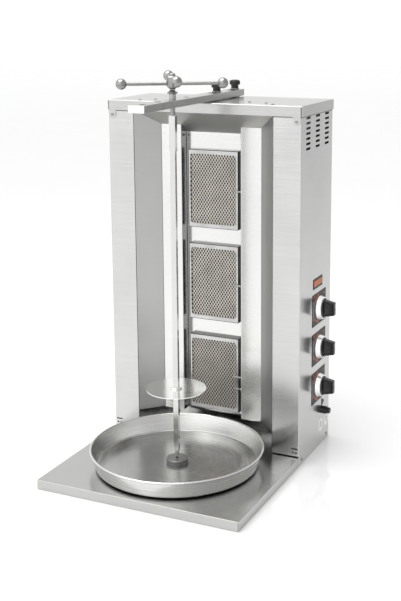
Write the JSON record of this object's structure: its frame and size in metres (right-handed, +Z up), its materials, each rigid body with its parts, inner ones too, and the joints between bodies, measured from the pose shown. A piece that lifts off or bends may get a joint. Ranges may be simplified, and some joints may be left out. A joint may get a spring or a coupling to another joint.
{
  "type": "vertical rotisserie broiler",
  "caption": "Tabletop gas broiler for meat on an upright spit: splayed heated recess, drip pan, sliding top arm, hand crank, burner taps and igniter.",
  "frame": {"origin": "on the spit's axis, at the level of the table", "axes": "+X towards the control side, +Y from the spit back into the casing, +Z up"},
  "size_m": [0.5429, 0.588, 0.9327],
  "materials": {
    "base_stainless": "brushed left to right",
    "casing_stainless": "brushed",
    "recess_stainless": "bright, as rolled",
    "inner_steel": "mill finish",
    "burner_stainless": "pressed, lightly heat-tinted",
    "plaque_ceramic": "matt fired ceramic",
    "brass": "machined",
    "zinc_steel": "zinc plated",
    "spindle_steel": "turned",
    "probe_steel": "drawn",
    "knob_plastic": "satin moulded",
    "bezel_chrome": "bright plated",
    "plate_black": "printed film",
    "igniter_plastic": "satin moulded",
    "arm_stainless": "polished",
    "spit_stainless": "drawn bright bar",
    "crank_stainless": "turned and buffed",
    "ball_steel": "cast and buffed",
    "clamp_plastic": "moulded",
    "stud_steel": "turned",
    "pan_stainless": "spun and polished stainless",
    "hub_stainless": "turned"
  },
  "bodies": {
    "broiler": {"base_tray": "base_stainless", "tray_stiffener": "base_stainless", "side_panel_left": "casing_stainless", "side_panel_right": "casing_stainless", "top_cover": "casing_stainless", "rear_panel": "casing_stainless", "deflector_left": "recess_stainless", "deflector_right": "recess_stainless", "burner_panel": "recess_stainless", "hood_panel": "recess_stainless", "kick_panel": "recess_stainless", "burner_rails": "inner_steel", "arm_support_plate": "inner_steel", "control_heat_shield": "inner_steel", "burner_frames": "burner_stainless", "burner_gauzes": "burner_stainless", "burner_bodies": "burner_stainless", "ceramic_plaques": "plaque_ceramic", "injectors": "brass", "tap_bodies": "brass", "gas_manifold": "zinc_steel", "burner_pipes": "zinc_steel", "thermocouples": "probe_steel", "spark_electrode": "probe_steel", "knob_bezels": "bezel_chrome", "control_plates": "plate_black", "igniter_body": "igniter_plastic", "arm_spacers": "arm_stainless", "casing_screws": "stud_steel"},
    "arm": {"arm_channel": "arm_stainless", "spit_bush": "arm_stainless"},
    "spit": {"spit_bar": "spit_stainless", "spit_socket": "spit_stainless", "disc_pin": "spit_stainless"},
    "disc": {"meat_disc": "spit_stainless"},
    "crank": {"crank_spindle": "crank_stainless", "crank_rods": "crank_stainless", "crank_balls": "ball_steel"},
    "pan": {"pan": "pan_stainless", "pan_hub": "hub_stainless"},
    "igniter_button": {"igniter_button": "igniter_plastic"},
    "tap_plug_1": {"tap_plug_1": "brass", "tap_spring_1": "spindle_steel"},
    "knob_1": {"tap_spindle_1": "spindle_steel", "control_knob_1": "knob_plastic"},
    "tap_plug_2": {"tap_plug_2": "brass", "tap_spring_2": "spindle_steel"},
    "knob_2": {"tap_spindle_2": "spindle_steel", "control_knob_2": "knob_plastic"},
    "tap_plug_3": {"tap_plug_3": "brass", "tap_spring_3": "spindle_steel"},
    "knob_3": {"tap_spindle_3": "spindle_steel", "control_knob_3": "knob_plastic"},
    "clamp_washer_front": {"clamp_washer_front": "stud_steel"},
    "clamp_knob_front": {"clamp_knob_front": "clamp_plastic", "clamp_stud_front": "stud_steel"},
    "clamp_washer_rear": {"clamp_washer_rear": "stud_steel"},
    "clamp_knob_rear": {"clamp_knob_rear": "clamp_plastic", "clamp_stud_rear": "stud_steel"}
  },
  "joints": [
    {"name": "arm_slide", "type": "slide", "parent": "broiler", "child": "arm", "axis": [0, 1, 0], "range_m": [0, 0.04]},
    {"name": "pan_slide", "type": "slide", "parent": "broiler", "child": "pan", "axis": [0, 1, 0], "range_m": [0, 0.04]},
    {"name": "spit_turn", "type": "hinge", "parent": "arm", "child": "spit", "pos_m": [0, 0, 0.5], "axis": [0, 0, 1], "continuous": true},
    {"name": "disc_lift", "type": "slide", "parent": "spit", "child": "disc", "axis": [0, 0, 1], "range_m": [0, 0.5]},
    {"name": "crank_lift", "type": "slide", "parent": "spit", "child": "crank", "axis": [0, 0, 1], "range_m": [0, 0.06]},
    {"name": "igniter_push", "type": "slide", "parent": "broiler", "child": "igniter_button", "axis": [-1, 0, 0], "range_m": [0, 0.005], "stiffness_N_per_m": 1500, "springref_m": -0.004},
    {"name": "tap_turn_1", "type": "hinge", "parent": "broiler", "child": "tap_plug_1", "pos_m": [0.2, 0.273, 0.161], "axis": [1, 0, 0], "range_deg": [0, 180]},
    {"name": "tap_push_1", "type": "slide", "parent": "tap_plug_1", "child": "knob_1", "axis": [-1, 0, 0], "range_m": [0, 0.004], "stiffness_N_per_m": 800, "springref_m": -0.004, "deforming": ["tap_spring_1"]},
    {"name": "tap_turn_2", "type": "hinge", "parent": "broiler", "child": "tap_plug_2", "pos_m": [0.2, 0.273, 0.2595], "axis": [1, 0, 0], "range_deg": [0, 180]},
    {"name": "tap_push_2", "type": "slide", "parent": "tap_plug_2", "child": "knob_2", "axis": [-1, 0, 0], "range_m": [0, 0.004], "stiffness_N_per_m": 800, "springref_m": -0.004, "deforming": ["tap_spring_2"]},
    {"name": "tap_turn_3", "type": "hinge", "parent": "broiler", "child": "tap_plug_3", "pos_m": [0.2, 0.273, 0.358], "axis": [1, 0, 0], "range_deg": [0, 180]},
    {"name": "tap_push_3", "type": "slide", "parent": "tap_plug_3", "child": "knob_3", "axis": [-1, 0, 0], "range_m": [0, 0.004], "stiffness_N_per_m": 800, "springref_m": -0.004, "deforming": ["tap_spring_3"]},
    {"name": "clamp_rise_front", "type": "slide", "parent": "broiler", "child": "clamp_washer_front", "axis": [0, 0, 1], "range_m": [0, 0.0025]},
    {"name": "clamp_turn_front", "type": "hinge", "parent": "clamp_washer_front", "child": "clamp_knob_front", "pos_m": [0, 0.2295, 0.88], "axis": [0, 0, 1], "range_deg": [0, 721]},
    {"name": "clamp_rise_rear", "type": "slide", "parent": "broiler", "child": "clamp_washer_rear", "axis": [0, 0, 1], "range_m": [0, 0.0025]},
    {"name": "clamp_turn_rear", "type": "hinge", "parent": "clamp_washer_rear", "child": "clamp_knob_rear", "pos_m": [0, 0.335, 0.88], "axis": [0, 0, 1], "range_deg": [0, 721]}
  ],
  "couplings": [
    {"joint": "pan_slide", "follows": "arm_slide", "ratio": 1},
    {"joint": "clamp_turn_front", "follows": "clamp_rise_front", "rad_per_m": 5026.5},
    {"joint": "clamp_turn_rear", "follows": "clamp_rise_rear", "rad_per_m": 5026.5}
  ]
}
